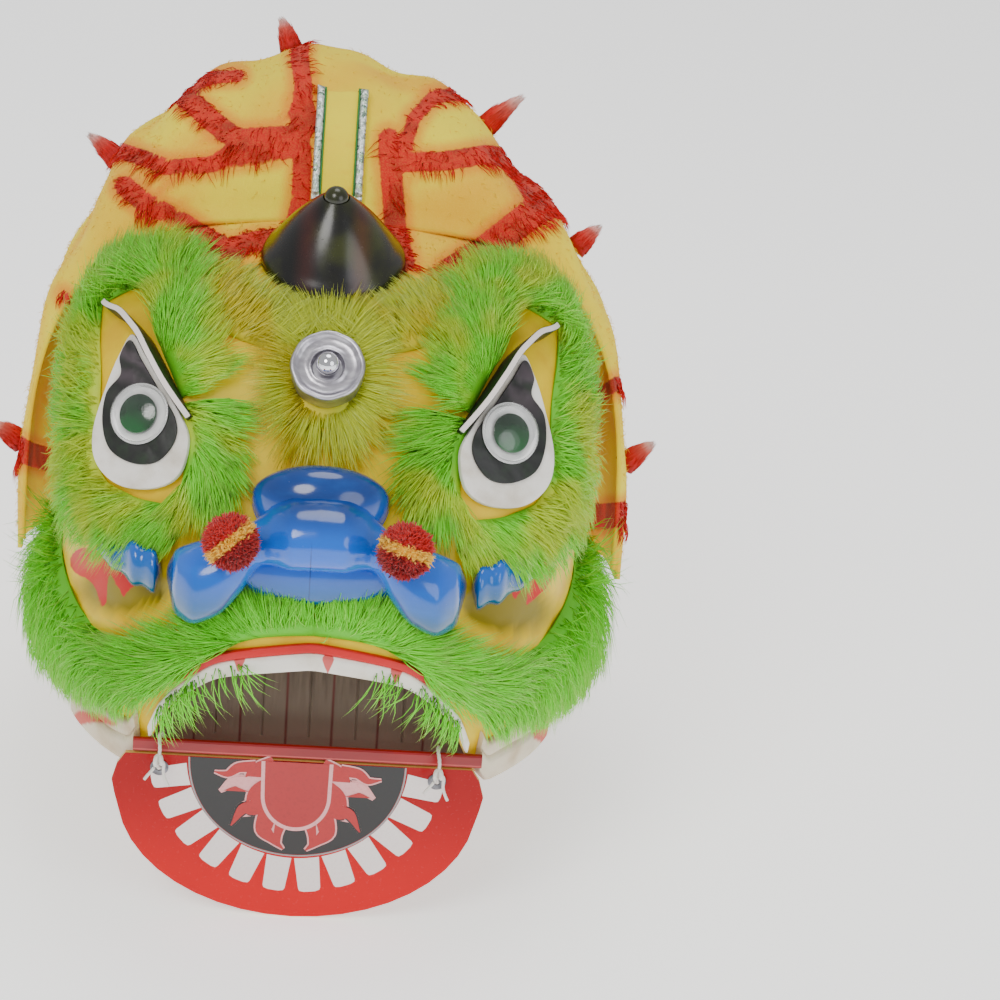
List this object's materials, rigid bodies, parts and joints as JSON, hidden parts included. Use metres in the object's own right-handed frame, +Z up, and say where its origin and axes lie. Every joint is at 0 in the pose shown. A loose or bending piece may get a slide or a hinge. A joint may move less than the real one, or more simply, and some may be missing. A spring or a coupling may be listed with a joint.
{
  "type": "lion dance head",
  "caption": "Child's lion dance head: painted mask with fur trims, plush hood with flame bands, horn, mirror, eyes, blue nose and a hanging jaw board.",
  "frame": {"origin": "inner top of the mask's crown, where it sits on the wearer's head", "axes": "+Z up, the face looks along -Y, +X is the right side of the picture"},
  "size_m": [0.3472, 0.3848, 0.3839],
  "materials": {
    "yellow_shell": "painted yellow with red flames, satin",
    "yellow_plush": "short pile plush",
    "red_plush": "long pile plush",
    "green_fur": "long pile fur, pale at the tips",
    "black_plastic": "high gloss",
    "silver": "plated plastic, polished",
    "black_board": "black card with a pale edge",
    "white_foam": "sheet foam",
    "white_plastic": "smooth",
    "black_vinyl": "creased glossy vinyl",
    "clear_plastic": "clear dome",
    "dark_green_plastic": "smooth",
    "blue_plastic": "high gloss moulding",
    "yarn": "clipped yarn in red and yellow",
    "white_board": "painted board",
    "red_board": "printed board with a satin face",
    "dark_red_board": "dark red painted strip",
    "brown_card": "creased card",
    "sequin_trim": "metallic woven trim",
    "grey_metal": "pressed eyelet",
    "white_cord": "thin string"
  },
  "bodies": {
    "head": {"brow_board_left": "black_board", "brow_board_right": "black_board", "brow_fur_left": "green_fur", "brow_fur_right": "green_fur", "cheek_fur_left": "green_fur", "cheek_fur_right": "green_fur", "crest_band": "yellow_plush", "crest_trim_left": "sequin_trim", "crest_trim_right": "sequin_trim", "eye_patch_left": "black_vinyl", "eye_patch_right": "black_vinyl", "eye_plate_left": "white_foam", "eye_plate_right": "white_foam", "face_shell": "yellow_shell", "flame_point_1": "red_plush", "flame_point_2": "red_plush", "flame_point_3": "red_plush", "flame_point_4": "red_plush", "flame_point_5": "red_plush", "flame_point_6": "red_plush", "forehead_fur_left": "green_fur", "forehead_fur_right": "green_fur", "googly_disc_left": "white_plastic", "googly_disc_right": "white_plastic", "googly_dome_left": "clear_plastic", "googly_dome_right": "clear_plastic", "googly_pupil_left": "dark_green_plastic", "googly_pupil_right": "dark_green_plastic", "gum_strip": "red_board", "hood": "yellow_plush", "horn": "black_plastic", "inner_fur_left": "green_fur", "inner_fur_right": "green_fur", "lip_corner_left": "white_foam", "lip_corner_right": "white_foam", "lip_fur": "green_fur", "lower_lip_bar": "dark_red_board", "mirror_ball": "silver", "mirror_dish": "silver", "mirror_fur": "green_fur", "mouth_card": "brown_card", "nose": "blue_plastic", "nose_scroll_left": "blue_plastic", "nose_scroll_right": "blue_plastic", "pompom_left": "yarn", "pompom_right": "yarn", "upper_teeth": "white_board"},
    "jaw": {"eyelet_left": "grey_metal", "eyelet_right": "grey_metal", "jaw_board": "red_board", "jaw_string_left": "white_cord", "jaw_string_right": "white_cord"}
  },
  "joints": [
    {"name": "jaw_swing", "type": "hinge", "parent": "head", "child": "jaw", "pos_m": [0, -0.1387, -0.2195], "axis": [-1, 0, 0], "range_deg": [0, 85]}
  ]
}
